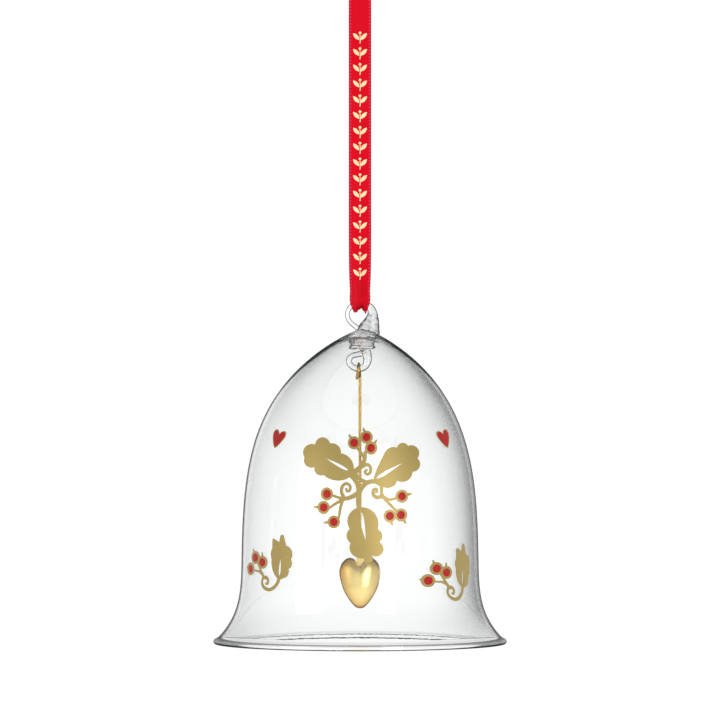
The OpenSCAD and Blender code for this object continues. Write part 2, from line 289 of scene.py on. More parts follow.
ribbon = {
    "width": 7.0,
    "thickness": 0.28,
    "columns": 28,
    "stepsPerPoint": 8,
    "pleats": 1.33,  # how many across the width, where it's gathered
    "pleatHeight": 1.25,
    "gather": 0.36,
    "ripple": 0.10,
    # middle line from the knot down in front and under the ring: y, z, share of the width, curl in 1/mm
    "front": [
        (-0.5, 1.5, .50, .10), (-1.1, 1.1, .55, .08), (-1.9, 0.3, .65, .04), (-2.4, -1.0, .78, .02),
        (-2.6, -2.5, .90, 0), (-2.6, -5.0, .98, 0), (-2.6, -9.0, 1, 0), (-2.5, -20.0, 1, 0),
        (-2.4, -32.0, 1, 0), (-2.3, -44.0, 1, 0), (-2.2, -56.0, 1, 0), (-2.1, -68.0, 1, 0),
        (-2.0, -80.0, 1, .01), (-1.9, -89.0, .98, .02), (-1.8, -94.0, .94, .04), (-1.8, -97.0, .90, .06),
        (-1.8, -99.0, .93, .08), (-1.7, -100.4, .93, .15), (-1.4, -101.3, .84, .27), (-0.8, -101.9, .66, .38),
    ],
    "bottom": (0, -102.1, .57, .38),
    "stitchInset": 0.55,
    "stitchPitch": 1.04,
}


def ribbonRoute():
    back = [(-y, z, share, curl) for y, z, share, curl in ribbon["front"][::-1]]
    return ribbon["front"] + [ribbon["bottom"]] + back


ribbonRows = smoothCurve(ribbonRoute(), ribbon["stepsPerPoint"])
ribbonAhead = unit(np.gradient(ribbonRows[:, :2], axis=0))
ribbonAlong = np.concatenate([[0], np.cumsum(np.linalg.norm(np.diff(ribbonRows[:, :2], axis=0), axis=1))])


def foldAt(across, z):
    # uneven pleats: 1 on a crest and 0 in a hollow
    wide = math.cos((across + 0.3) * ribbon["pleats"] * 2 * math.pi)
    return 0.5 + 0.37 * wide + 0.13 * math.cos(across * 27 + 0.12 * z)


def ribbonPoint(row, across, lift):
    # a point on the satin: across runs from -0.5 to 0.5, lift goes out from its middle layer
    low = int(min(max(row, 0), len(ribbonRows) - 1.001))
    part = row - low
    y, z, share, curl = ribbonRows[low] * (1 - part) + ribbonRows[low + 1] * part
    dy, dz = unit(ribbonAhead[low] * (1 - part) + ribbonAhead[low + 1] * part)
    u = across * ribbon["width"] * share
    turn = curl * u
    x, bow = (math.sin(turn) / curl, (1 - math.cos(turn)) / curl) if curl > 1e-4 else (u, 0)
    gathered = min(max(1 - share, 0) / ribbon["gather"], 1)
    bow += ribbon["pleatHeight"] * gathered ** 1.5 * foldAt(across, z)
    bow += ribbon["ripple"] * math.sin(0.23 * z + 1.7 * across) * min(1, abs(z) / 8)
    out = bow + lift
    return x, y + dz * out, z - dy * out


def ribbonStrip():
    rows, columns = len(ribbonRows), ribbon["columns"]
    edges = np.linspace(-0.5, 0.5, columns)
    points, across, along, valley = [], [], [], []
    for i in range(rows):
        _, z, share, _ = ribbonRows[i]
        gathered = min(max(1 - share, 0) / ribbon["gather"], 1)
        for side in (1, -1):
            for a in edges * side:
                # thin at the woven edges
                thick = ribbon["thickness"] / 2 * (0.45 if abs(a) > 0.47 else 1)
                points.append(ribbonPoint(i, a, side * thick))
                across.append(a * ribbon["width"])
                along.append(ribbonAlong[i])
                # painted shade: darker where the satin is gathered under the ring, most in the pleats'
                # hollows
                valley.append(gathered * (1.15 - foldAt(a, z)))
    k = 2 * columns
    faces = [(i * k + j, i * k + (j + 1) % k, (i + 1) * k + (j + 1) % k, (i + 1) * k + j)
             for i in range(rows - 1) for j in range(k)]
    faces.append(tuple(range(k)))
    faces.append(tuple(range((rows - 1) * k, rows * k)))
    piece = buildMesh("ribbonLoop", points, faces, sharpAngle=60)
    keepValues(piece, across=across, along=along, valley=valley)
    return piece


knot = {
    "size": (3.3, 2.1, 2.0),  # half width, half depth and half height of the middle line of the wrap
    "middle": 3.8,
    "band": (1.35, 0.75),  # half sizes of the gathered satin in the knot
    "tailLength": 11.0,
    "tailLean": 24,
    "tailNotch": 2.0,
}


def knotWrap():
    # the gathered band goes over and under itself
    t = np.linspace(0, 2 * math.pi, 121)
    w, d, h = knot["size"]
    line = np.stack([w * (np.sin(t) + 2 * np.sin(2 * t)) / 3, -h * np.sin(3 * t) * 0.62,
                     d * (np.cos(t) - 2 * np.cos(2 * t)) / 3], 1)
    line[:, 1] *= 0.95
    a, b = knot["band"]
    turns = np.arange(18) / 18 * 2 * math.pi
    sections = []
    for s in t:
        crease = 1 + 0.10 * math.sin(7 * s)
        sections.append([(a * crease * math.cos(q) * (1 + 0.07 * math.cos(5 * q)), b * math.sin(q))
                         for q in turns])
    points, faces = sweep(line, sections, (0, 0, 1))
    return [tuple(p + np.array([0, 0, knot["middle"]])) for p in points], faces


def knotTail(side):
    # a tail opens out above the knot and ends in a notch
    lean = math.radians(knot["tailLean"]) * side
    rows, columns = 26, 16
    points, across, along = [], [], []
    for face in (1, -1):
        for i in range(rows):
            share = i / (rows - 1)
            for j in range(columns):
                a = j / (columns - 1) - 0.5
                reach = knot["tailLength"] - knot["tailNotch"] * (1 - abs(a) * 2)
                up = 0.8 + share * (reach - 0.8)
                width = ribbon["width"] * (0.42 + 0.56 * min(1, up / 6.5) ** 0.8)
                fold = 0.55 * math.cos(a * 4 * math.pi + side) * max(0, 1 - up / 8)
                bow = fold + 0.5 * math.sin(up * 0.5 + side) + 0.5 * side + face * ribbon["thickness"] / 2
                x = side * 0.9 + a * width
                points.append((x * math.cos(lean) + up * math.sin(lean), bow,
                               knot["middle"] + 0.9 - x * math.sin(lean) + up * math.cos(lean)))
                across.append(a * ribbon["width"])
                along.append(up)
    grid = [(i * columns + j, i * columns + j + 1, (i + 1) * columns + j + 1, (i + 1) * columns + j)
            for i in range(rows - 1) for j in range(columns - 1)]
    n = rows * columns
    faces = grid + [tuple(k + n for k in face) for face in grid]
    border = ([j for j in range(columns)] + [i * columns + columns - 1 for i in range(1, rows)]
              + [(rows - 1) * columns + j for j in range(columns - 2, -1, -1)]
              + [i * columns for i in range(rows - 2, 0, -1)])
    faces += [(a, b, b + n, a + n) for a, b in zip(border, border[1:] + border[:1])]
    return points, faces, across, along


def knotPiece():
    wrapPoints, wrapFaces = knotWrap()
    parts, across, along = [(wrapPoints, wrapFaces)], [0.0] * len(wrapPoints), [0.0] * len(wrapPoints)
    for side in (-1, 1):
        points, faces, tailAcross, tailAlong = knotTail(side)
        parts.append((points, faces))
        across += tailAcross
        along += tailAlong
    piece = buildMesh("ribbonKnot", *joinParts(parts), sharpAngle=50)
    keepValues(piece, across=across, along=along)
    return piece


def satinFinish():
    material, kit, shader = newFinish("redSatin", Roughness=0.42, Specular_IOR_Level=0.06)
    across, along = kit.value("across"), kit.value("along")
    inset = across.size() - (ribbon["width"] / 2 - ribbon["stitchInset"])
    stitchRow = inset.size().below(0.17, 0.08)
    phase = ((along + across * 0.35) / ribbon["stitchPitch"]) % 1.0
    dot = (phase - 0.5).size().below(0.22, 0.14) * stitchRow
    selvage = inset.above(0.16, 0.08)
    warp = kit.noise(900, 2, kit.stretched((1, 1, 0.06)))
    cloud = kit.noise(140, 3)
    weft = ((along * 5.2) % 1.0 - 0.5).size()
    shade = kit.mixColour(warp * 0.55 + cloud * 0.35, (0.54, 0.0, 0.008), (0.70, 0.001, 0.016))
    # painted shade in the gathered pleats, mixed towards dark red
    shade = kit.mixColour(kit.value("valley"), shade, (0.24, 0.0, 0.004))
    shade = kit.mixColour(selvage * 0.55 + (1 - dot) * stitchRow * 0.45, shade, (0.36, 0.0, 0.020))
    shade = kit.mixColour(dot * 0.75, shade, (0.92, 0.055, 0.13))
    kit.feed(shader.inputs["Base Color"], shade)
    kit.feed(shader.inputs["Roughness"], 0.36 + warp * 0.16 + selvage * 0.12)
    height = warp * 0.35 + weft * 0.25 + dot * 1.2 + selvage * 0.4
    kit.feed(shader.inputs["Normal"], kit.bump(height, 0.35, 0.00008))
    return material


satin = satinFinish()
ribbonLoop = ribbonStrip()
ribbonKnot = knotPiece()
for piece, node in ((ribbonLoop, "ribbon"), (ribbonKnot, "ribbon_knot")):
    paint(piece, satin, "ribbon")
    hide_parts(node)
print("ribbon and knot are made")


# artwork helpers: flat shapes in mm, cut to one outline and laid on a surface

def flatArea(outline):
    x, z = np.asarray(outline, float)[:, 0], np.asarray(outline, float)[:, 1]
    return float(x @ np.roll(z, -1) - z @ np.roll(x, -1)) / 2


def arcsThrough(corners):
    # a closed outline; each corner is (x, z, height of the round lobe up to the next corner)
    outline = []
    side = -1 if flatArea([corner[:2] for corner in corners]) > 0 else 1
    for (x0, z0, lobe), (x1, z1, _) in zip(corners, corners[1:] + corners[:1]):
        start, end = np.array([x0, z0]), np.array([x1, z1])
        chord = np.linalg.norm(end - start)
        if lobe < 0.05:
            outline.extend([start])
            continue
        turn = 4 * math.atan(2 * lobe / chord)
        radius = chord / (2 * math.sin(turn / 2))
        forward = (end - start) / chord
        outward = np.array([-forward[1], forward[0]]) * side
        middle = (start + end) / 2 - outward * radius * math.cos(turn / 2)
        steps = max(4, int(turn * abs(radius) / 0.22))
        for t in np.arange(steps) / steps:
            bend = turn * (t - 0.5)
            outline.append(middle + outward * radius * math.cos(bend) + forward * radius * math.sin(bend))
    return np.array(outline)


def disc(place, radius, steps=26, squash=1.0):
    turns = np.arange(steps) / steps * 2 * math.pi
    return np.stack([place[0] + radius * squash * np.cos(turns), place[1] + radius * np.sin(turns)], 1)


def stroke(points, startWidth, endWidth, steps=5):
    # a drawn line with round ends, as a few simple outlines
    line = smoothCurve(points, steps)
    ahead = unit(np.gradient(line, axis=0))
    across = np.stack([-ahead[:, 1], ahead[:, 0]], 1)
    half = np.linspace(startWidth, endWidth, len(line))[:, None] / 2
    left, right = line + across * half, line - across * half
    outlines = [disc(line[0], startWidth / 2, 12), disc(line[-1], endWidth / 2, 12)]
    for i in range(0, len(line) - 1, steps):
        j = min(i + steps, len(line) - 1) + 1
        outlines.append(np.vstack([left[i:j], right[i:j][::-1]]))
    return outlines


def artwork(solids, holes=(), pitch=0.9):
    # the union of the solids without the holes, as flat triangles
    outlines = [outline if flatArea(outline) > 0 else outline[::-1] for outline in list(solids) + list(holes)]
    flat, faces = [], []
    for outline in outlines:
        faces.append(list(range(len(flat), len(flat) + len(outline))))
        flat.extend(outline.tolist())
    low, high = np.min(flat, 0), np.max(flat, 0)
    inside = [(x, z) for x in np.arange(low[0], high[0], pitch) for z in np.arange(low[1], high[1], pitch)]
    found = delaunay_2d_cdt([Vector(p) for p in flat + inside], [], faces, 1, 1e-4)
    flatPoints, triangles, sources = found[0], found[2], found[5]
    kept = [tri for tri, source in zip(triangles, sources)
            if source and not any(k >= len(solids) for k in source)]
    used = sorted({k for tri in kept for k in tri})
    place = {k: n for n, k in enumerate(used)}
    return [tuple(flatPoints[k]) for k in used], [tuple(place[k] for k in tri) for tri in kept]


def laidOn(surface, art, thickness, dome=None):
    # a thin closed layer: surface turns (x, z, lift) into a place in space
    flat, triangles = art
    n = len(flat)
    top = [surface(x, z, thickness + (dome(x, z) if dome else 0)) for x, z in flat]
    under = [surface(x, z, 0.0) for x, z in flat]
    borders = {}
    for tri in triangles:
        for a, b in zip(tri, tri[1:] + tri[:1]):
            borders[a, b] = borders.get((a, b), 0) + 1
    edge = [(a, b) for a, b in borders if (b, a) not in borders]
    faces = [tuple(tri) for tri in triangles] + [tuple(k + n for k in tri[::-1]) for tri in triangles]
    faces += [(b, a, a + n, b + n) for a, b in edge]
    return top + under, faces


# gold foil garland on the front of the ribbon

garland = {"from": -16.5, "to": -91.5, "pitch": 4.9, "leafLength": 2.9, "leafWidth": 1.15, "lean": 44,
           "dot": 0.42, "stem": 0.26, "foil": 0.05}


def leafShape(place, length, width, turn, steps=10):
    t = np.linspace(0, 1, steps)
    half = width / 2 * np.sin(math.pi * t) ** 0.8
    x = np.concatenate([t * length, t[-2:0:-1] * length])
    z = np.concatenate([half, -half[-2:0:-1]])
    c, s = math.cos(math.radians(turn)), math.sin(math.radians(turn))
    return np.stack([place[0] + x * c - z * s, place[1] + x * s + z * c], 1)


def garlandArt():
    solids = []
    count = int((garland["from"] - garland["to"]) / garland["pitch"])
    for i in range(count + 1):
        z = garland["from"] - i * garland["pitch"]
        for side in (-1, 1):
            turn = 90 - side * garland["lean"]
            place = (side * 0.15, z - 2.4)
            solids.append(leafShape(place, garland["leafLength"], garland["leafWidth"], turn))
        solids += stroke([(0.0, z - 3.4), (0.12, z - 2.2), (0.0, z - 0.9)], garland["stem"], garland["stem"])
        solids.append(disc((0.0, z - 0.2), garland["dot"], 14))
    return artwork(solids, pitch=3.0)


def ribbonRowAt(z):
    # the front strand's row at this height
    half = len(ribbonRows) // 2
    return float(np.interp(-z, -ribbonRows[:half, 1], np.arange(half)))


def onRibbon(x, z, lift):
    return ribbonPoint(ribbonRowAt(z), x / ribbon["width"], ribbon["thickness"] / 2 + 0.02 + lift)


def foilFinish():
    material, kit, shader = newFinish("goldFoil", Metallic=0.55, Roughness=0.42)
    grain = kit.noise(1800, 2)
    kit.feed(shader.inputs["Base Color"], kit.mixColour(grain, (0.82, 0.50, 0.24), (1.0, 0.78, 0.50)))
    kit.feed(shader.inputs["Roughness"], 0.34 + grain * 0.2)
    kit.feed(shader.inputs["Normal"], kit.bump(grain, 0.2, 0.00005))
    return material


ribbonLoop.visible_transmission = False  # unseen through glass, so the crown has no red glints from it

ribbonGarland = buildMesh("ribbonGarland", *laidOn(onRibbon, garlandArt(), garland["foil"]), sharpAngle=40)
paint(ribbonGarland, foilFinish(), "ribbon")


# glass bell: blown wall, rolled rim and the solid button in its crown, as one turned line

bell = {
    "height": 98.4, "waist": 74.0, "flareHeight": 30.0, "wall": 1.2, "bead": 1.6,
    "domePower": 4.55, "nosePower": 1.19, "flarePower": 3.8,
    "buttonWidth": 8.2, "buttonDepth": 6.9, "buttonLip": 1.1, "buttonNeck": 7.2,
    "crownDrift": 0.9, "driftFrom": 60,
    "turns": 192,
}
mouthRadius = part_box("glass_bell")[1].x / mm
beadRadius = bell["bead"] / 2
beadMiddle = mouthRadius - beadRadius
flareReach = ((beadMiddle + bell["wall"] / 2 - bell["waist"] / 2)
              / (1 - beadRadius / bell["flareHeight"]) ** bell["flarePower"])


def domeRadius(z, radius, height):
    share = min(max(z / height, 0), 1)
    return radius * (1 - share ** bell["domePower"]) ** (1 / bell["nosePower"])


def domeHeight(r, radius, height):
    return height * (1 - (r / radius) ** bell["nosePower"]) ** (1 / bell["domePower"])


def flare(z):
    return flareReach * (1 - z / bell["flareHeight"]) ** bell["flarePower"] if z < bell["flareHeight"] else 0


def outside(z):
    return domeRadius(z, bell["waist"] / 2, bell["height"]) + flare(z)


def inside(z):
    return domeRadius(z, bell["waist"] / 2 - bell["wall"], bell["height"] - bell["wall"]) + flare(z)


def wallLine(wallRadius, fullRadius, height, lowest, innermost):
    # the wall's line from its foot up to a radius near the axis, closest where it turns
    top = domeHeight(14, fullRadius, height)
    heights = np.concatenate([np.linspace(lowest, bell["flareHeight"], 34), np.linspace(31.5, top, 46)])
    line = [(wallRadius(z), z) for z in heights]
    line += [(r, domeHeight(r, fullRadius, height)) for r in np.linspace(13.6, innermost, 30)]
    return line


def bellLine():
    outer = wallLine(outside, bell["waist"] / 2, bell["height"], 2.15, 0.35)
    button, lip, neck = bell["buttonWidth"] / 2, bell["buttonLip"] / 2, bell["buttonNeck"] / 2
    innerRadius, innerHeight = bell["waist"] / 2 - bell["wall"], bell["height"] - bell["wall"]
    inner = wallLine(inside, innerRadius, innerHeight, 1.75, neck + 2.4)
    bottom = bell["height"] - bell["buttonDepth"]
    # the wall runs into a waisted neck, then out over a rounded lip
    under = inner[-1][1]
    neckLine = smoothCurve([inner[-2], inner[-1], (neck + 1.2, under - 0.15), (neck + 0.35, under - 0.9),
                            (neck, bottom + 2.3 * lip + 0.5), (neck + 0.25, bottom + 2 * lip + 0.05)], 4)[5:]
    foot = [(button - lip + lip * math.cos(t), bottom + lip + lip * math.sin(t))
            for t in np.radians(np.linspace(75, -90, 12))]
    shoulder = [tuple(p) for p in neckLine]
    floor = [(button * share, bottom + 0.12 * (share - 0.8)) for share in (0.7, 0.5, 0.3, 0.1)]
    bead = [(beadMiddle + beadRadius * math.cos(t), beadRadius + beadRadius * math.sin(t))
            for t in np.radians(np.linspace(78, -186, 30))]
    return ([(0, bell["height"])] + outer[::-1] + bead + inner + shoulder + foot + floor
            + [(0, bottom - 0.1)])


def drifted(points, faces):
    # blown by hand: the crown sits a little to one side
    span = bell["height"] - bell["driftFrom"]
    drift = bell["crownDrift"]
    moved = [(x + drift * max(0, (z - bell["driftFrom"]) / span) ** 2, y, z) for x, y, z in points]
    return moved, faces


glassLook = {
    "clear": (0.985, 0.995, 0.99),
    # the dark colour below is painted dark refraction, mixed into the glass along its edges
    "paintedDarkColour": (0.03, 0.034, 0.034),
    "crownFrom": 94,  # above this height the glass is more rippled
    "ripple": 0.02,
    "crownRipple": 2.2,
    "edgeFrom": 0.83,  # how edge-on the wall is where its dark line starts
    "edgeBlur": 0.04,
    # the share below paints dark patches into the thick glass rods
    "paintedDarkPatchShare": 0.35,
    "wallLine": 0.64,
    "beadLine": 0.6,
    "beadFootLine": 0.95,
    "buttonLine": 0.45,
    "ringLine": 0.4,
    # the four shares below paint shade as the glass turns edge-on; the last paints shade on the bell's right
    # side
    "ringEdgeShade": 1.1,
    "buttonEdgeShade": 0.7,
    "beadEdgeShade": 0.1,
    "wallEdgeShade": 0.25,
    "sideShade": 0.85,
}


def glassFinish():
    material, kit, shader = newFinish("clearGlass", Base_Color=glassLook["clear"], Roughness=0.0, IOR=1.46,
                                      Transmission_Weight=1.0)
    where = kit.node("ShaderNodeTexCoord", out=3)
    height = kit.node("ShaderNodeSeparateXYZ", {}, {0: where}, out=2) / mm - rimZ
    crown = height.above(glassLook["crownFrom"], 4)
    ripple = kit.noise(380, 3) * (glassLook["ripple"] + crown * glassLook["crownRipple"])
    bump = kit.bump(ripple, 0.5, 0.0004)
    kit.feed(shader.inputs["Normal"], bump)
    # painted dark refraction: seen edge-on the wall is mixed towards a dark shader, with a dark line painted
    # at the very edge
    paintedDarkShader = kit.node("ShaderNodeBsdfPrincipled", {}, {
        "Base Color": glassLook["paintedDarkColour"], "Roughness": 0.0, "IOR": 1.0,
        "Transmission Weight": 1.0, "Normal": bump})
    facing = kit.node("ShaderNodeLayerWeight", {}, {"Blend": 0.5, "Normal": bump}, out=1)
    edge = (facing + kit.value("reach")).above(glassLook["edgeFrom"], glassLook["edgeBlur"])
    edge = edge * kit.value("line")
    # painted shade: the dark shader's share grows as the surface turns edge-on, plus the painted side shade,
    # painted dark patches and the painted edge line
    share = facing ** 2 * kit.value("haze") + facing ** 3 * kit.value("shade")
    share = share + kit.value("fold") * glassLook["paintedDarkPatchShare"] + edge
    mixed = kit.node("ShaderNodeMixShader", {}, {0: share, 1: Field(kit, shader.outputs[0]), 2: paintedDarkShader})
    kit.feed(kit.tree.nodes["Material Output"].inputs["Surface"], mixed)
    return material


def edgeReach(radius, width=0.3):
    # how far the painted dark edge line of a round rod is widened, so it looks this wide
    return glassLook["edgeFrom"] - (1 - math.sqrt(1 - (1 - width / radius) ** 2))


def bellPiece():
    line = bellLine()
    points, faces = lathe(line, bell["turns"])
    piece = buildMesh("bellGlass", *drifted(points, faces), rise=rimZ)
    x, y, z = np.array(points).T
    outer = np.array([r > inside(h) + bell["wall"] * 0.6 for r, h in zip(np.hypot(x, y), z)])
    bead = z < bell["bead"]
    crown = np.clip((z - 78) / 16, 0, 1)
    side = np.clip((x - 4) / 16, 0, 1) * np.clip((z - 3) / 8, 0, 1)
    fromAxis = np.hypot(x, y)
    button = (z > 89) & (fromAxis < 6.5) & ~outer
    # strength of the painted dark edge line, weaker towards the bell's right side
    wallLineShare = outer * (glassLook["wallLine"] + 0.2 * crown - 0.6 * side * (1 - crown))
    wallLineShare = wallLineShare * np.clip((fromAxis - 2) / 7, 0.12, 1)
    beadLine = np.where(z < bell["bead"] * 0.45, glassLook["beadFootLine"], glassLook["beadLine"])
    line = np.where(bead, beadLine, np.where(button, glassLook["buttonLine"], wallLineShare))
    # the bead's painted dark line thins out towards its left and right ends
    ends = np.abs(x) / mouthRadius
    beadReach = edgeReach(beadRadius, 0.32) * (1 - ends) + edgeReach(beadRadius, 0.12) * ends
    reach = np.where(bead, beadReach, np.where(button, edgeReach(2.2), 0.16 * crown))
    # painted edge-on shade, stronger towards the crown
    wallEdgeShade = glassLook["wallEdgeShade"] + 0.16 * crown
    haze = np.where(button, glassLook["buttonEdgeShade"], np.where(bead, glassLook["beadEdgeShade"], wallEdgeShade))
    # painted shade on the bell's right side, fading towards the crown; the bell gets no painted dark patches
    keepValues(piece, line=line, reach=reach, haze=haze, fold=line * 0,
               shade=glassLook["sideShade"] * side * (1 - crown * 0.6))
    return piece


glass = glassFinish()
bellGlass = bellPiece()
print("bell is blown")

crownRings = {
    # outer ring from its thin end round to the broad root: x, height, half width, half depth
    "outerLine": [
        (-0.1, 97.6, 0.86, 0.86), (-1.1, 98.6, 0.80, 0.80), (-2.5, 99.7, 0.74, 0.74),
        (-3.6, 101.1, 0.71, 0.71), (-3.95, 102.7, 0.72, 0.72), (-3.3, 104.5, 0.76, 0.76),
        (-1.8, 105.7, 0.82, 0.82), (0.0, 106.0, 0.86, 0.86),
        (1.9, 105.7, 0.96, 0.94), (3.3, 104.6, 1.2, 1.1), (3.85, 103.1, 1.5, 1.3), (3.8, 101.4, 2.05, 1.6),
        (3.4, 99.7, 2.75, 2.0), (2.9, 98.2, 3.35, 2.5), (2.6, 96.9, 3.5, 2.9), (2.4, 96.0, 2.9, 2.5),
        (2.3, 95.4, 1.9, 1.8),
    ],
    # inner ring from the button round to its thin end, with heights from the ring's lowest point
    "innerLine": [
        (1.2, 8.0, 1.7, 1.6), (1.8, 6.6, 1.55, 1.4), (2.25, 5.0, 1.4, 1.3), (2.3, 3.3, 1.28, 1.2),
        (1.5, 1.7, 1.1, 1.08),
        (0.1, 1.0, 1.0, 1.0), (-1.4, 1.15, 0.95, 0.95), (-2.8, 2.0, 0.92, 0.92), (-3.45, 3.2, 0.9, 0.9),
        (-3.1, 4.4, 0.9, 0.9), (-2.2, 5.1, 0.92, 0.92), (-1.0, 5.35, 0.95, 0.95), (0.2, 5.6, 1.0, 1.0),
    ],
    "rodSides": 32,
    "capSteps": 4,
}


def withCaps(values):
    # repeats the first and last value over the rows of a rod's dome ends
    steps = crownRings["capSteps"]
    return np.concatenate([[values[0]] * steps, values, [values[-1]] * steps])


def ringRod(route, lift):
    # a rod along (x, height, half width, half depth) with dome ends
    line = smoothCurve(route, 7)
    sides = crownRings["rodSides"]
    points, faces = roundedRod([(x, 0, z + lift) for x, z, _, _ in line], line[:, 2], sides=sides)
    squash = np.repeat(withCaps(line[:, 3] / line[:, 2]), sides)
    return [(x, y * k, z) for (x, y, z), k in zip(points, squash)], faces


def ringPiece(name, route, lift):
    points, faces = ringRod(route, lift)
    piece = buildMesh(name, points, faces, rise=rimZ)
    line = smoothCurve(route, 7)
    widths = withCaps(line[:, 2])
    reach = np.repeat([edgeReach(width) for width in widths], crownRings["rodSides"])
    full = np.ones(len(points))
    x, _, z = np.array(points).T
    # painted dark refraction: stronger where the rod is thick, with a few painted dark patches
    thick = np.clip((np.repeat(widths, crownRings["rodSides"]) - 1.0) / 1.0, 0, 1)
    paintedDarkPatches = np.clip(np.sin(x * 2.1 + z * 1.3) * np.sin(z * 1.7 - x * 0.8) * 1.6 - 0.5, 0, 1)
    keepValues(piece, line=full * glassLook["ringLine"], reach=reach, haze=full * glassLook["ringEdgeShade"],
               shade=thick * (0.9 + paintedDarkPatches), fold=thick * (0.25 + paintedDarkPatches))
    return piece


def meltInto(target, piece):
    # joins a solid to another and takes away what is inside
    joining = target.modifiers.new("melt", "BOOLEAN")
    joining.operation = "UNION"
    joining.solver = "MANIFOLD"
    joining.object = piece
    fused = bpy.data.meshes.new_from_object(target.evaluated_get(bpy.context.evaluated_depsgraph_get()))
    target.modifiers.clear()
    target.data = fused
    fused.shade_smooth()
    bpy.data.objects.remove(piece)


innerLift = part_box("clapper_loop")[0].z / mm - rimZ
hangingRing = ringPiece("hangingRing", crownRings["outerLine"], 0)
clapperRing = ringPiece("clapperRing", crownRings["innerLine"], innerLift)
for ring in (hangingRing, clapperRing):
    meltInto(bellGlass, ring)
paint(bellGlass, glass, "bell")
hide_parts("glass_bell", "crown_seal", "hanging_loop", "clapper_loop")
print("glass rings are made")


# fired prints on the outside of the wall; heights from the rim, x as seen from straight in front

prints = {"gap": 0.02, "gold": 0.13, "enamel": 0.13, "enamelDome": 0.14, "berry": 2.0, "enamelShare": 0.64}


def onWall(turn, baseHeight=0.0):
    c, s = math.cos(math.radians(turn)), math.sin(math.radians(turn))

    def surface(x, z, lift):
        radius = outside(z + baseHeight) + prints["gap"] + lift
        y = -math.sqrt(radius ** 2 - x ** 2)
        return x * c - y * s, x * s + y * c, z + baseHeight

    return surface


frontSprig = {
    "leaves": [
        [(-1.9, 54.8, 1.3), (-5.8, 59.9, 1.15), (-9.2, 62.9, 2.05), (-13.7, 62.5, 1.9), (-17.0, 58.6, 1.5),
         (-13.9, 55.7, 1.2), (-11.1, 53.3, 1.4), (-3.2, 52.6, 0)],
        [(4.0, 51.6, 0.3), (7.4, 59.7, 0.95), (11.3, 61.6, 1.2), (14.7, 62.1, 1.9), (17.6, 58.3, 1.55),
         (16.1, 54.2, 1.55), (11.3, 51.6, 1.2), (7.1, 49.7, 0.4), (5.0, 50.9, 0)],
        [(0.3, 43.5, 2.2), (5.4, 36.8, 1.2), (5.9, 32.9, 2.5), (3.6, 28.9, 1.9), (1.1, 27.9, 0.2),
         (-1.2, 28.3, 1.0), (-2.9, 32.6, 1.1), (-3.1, 36.9, 1.7), (-0.9, 43.3, 0)],
    ],
    "slits": [((-3.6, 54.7), (-10.3, 58.3), 0.85), ((4.9, 52.2), (12.8, 56.8), 1.0),
              ((0.1, 42.4), (1.7, 33.6), 1.25)],
    # lines of the stems, with the width at each end
    "stems": [
        ([(-0.3, 43.6), (-0.5, 45.2), (-0.3, 47.5), (0.6, 49.5), (2.1, 50.9), (4.1, 51.4),
          (5.6, 51.0)], 1.5, 1.3),
        ([(-0.5, 47.0), (-0.6, 49.6), (-1.3, 51.5), (-2.8, 53.3)], 1.1, 1.5),
        ([(-2.6, 53.8), (-1.0, 54.7), (0.6, 56.3), (1.4, 58.2), (1.6, 60.2)], 1.9, 1.0),
        ([(1.3, 58.4), (0.4, 60.0), (-0.9, 61.5)], 0.9, 0.75),
        ([(-1.6, 53.6), (-0.2, 52.2), (1.8, 51.2), (4.1, 51.2)], 1.3, 1.0),
        ([(0.9, 55.9), (2.2, 56.5), (3.2, 55.6), (3.1, 54.1), (2.2, 53.5), (1.5, 54.2),
          (2.0, 54.8)], 1.0, 0.75),
        ([(-0.5, 47.8), (-2.2, 46.8), (-4.4, 46.1), (-6.2, 46.3), (-8.6, 47.2)], 1.6, 0.8),
        ([(-4.8, 46.0), (-7.4, 44.6), (-9.4, 43.2)], 1.1, 0.75),
        ([(-5.3, 45.8), (-6.0, 43.2), (-6.4, 40.6), (-7.0, 39.2)], 1.0, 0.7),
        ([(-4.9, 46.4), (-5.7, 48.2), (-5.3, 50.0), (-4.1, 50.7), (-3.0, 49.9), (-3.2, 48.6), (-4.0, 48.4),
          (-4.2, 49.1)], 1.1, 0.7),
        ([(5.0, 51.2), (6.5, 50.0), (6.6, 48.2), (7.2, 46.7), (9.2, 45.8), (11.4, 46.4)], 1.2, 0.75),
        ([(6.5, 47.2), (8.6, 44.9), (11.0, 42.4)], 1.1, 0.8),
        ([(6.7, 46.7), (5.0, 46.5), (4.0, 47.5), (4.2, 48.8), (5.0, 49.0), (5.2, 48.3),
          (4.8, 48.1)], 1.2, 0.6),
    ],
    # berry centres, with the way their crowns point, in degrees
    "berries": [(-1.8, 63.1, 122), (2.0, 64.8, 110), (3.4, 61.5, 55), (-10.1, 47.5, None), (-11.1, 43.4, 178),
                (-8.0, 39.0, 185), (12.8, 46.8, 15), (9.1, 40.8, -75), (12.5, 41.1, -60)],
    "squash": 0.96,
}
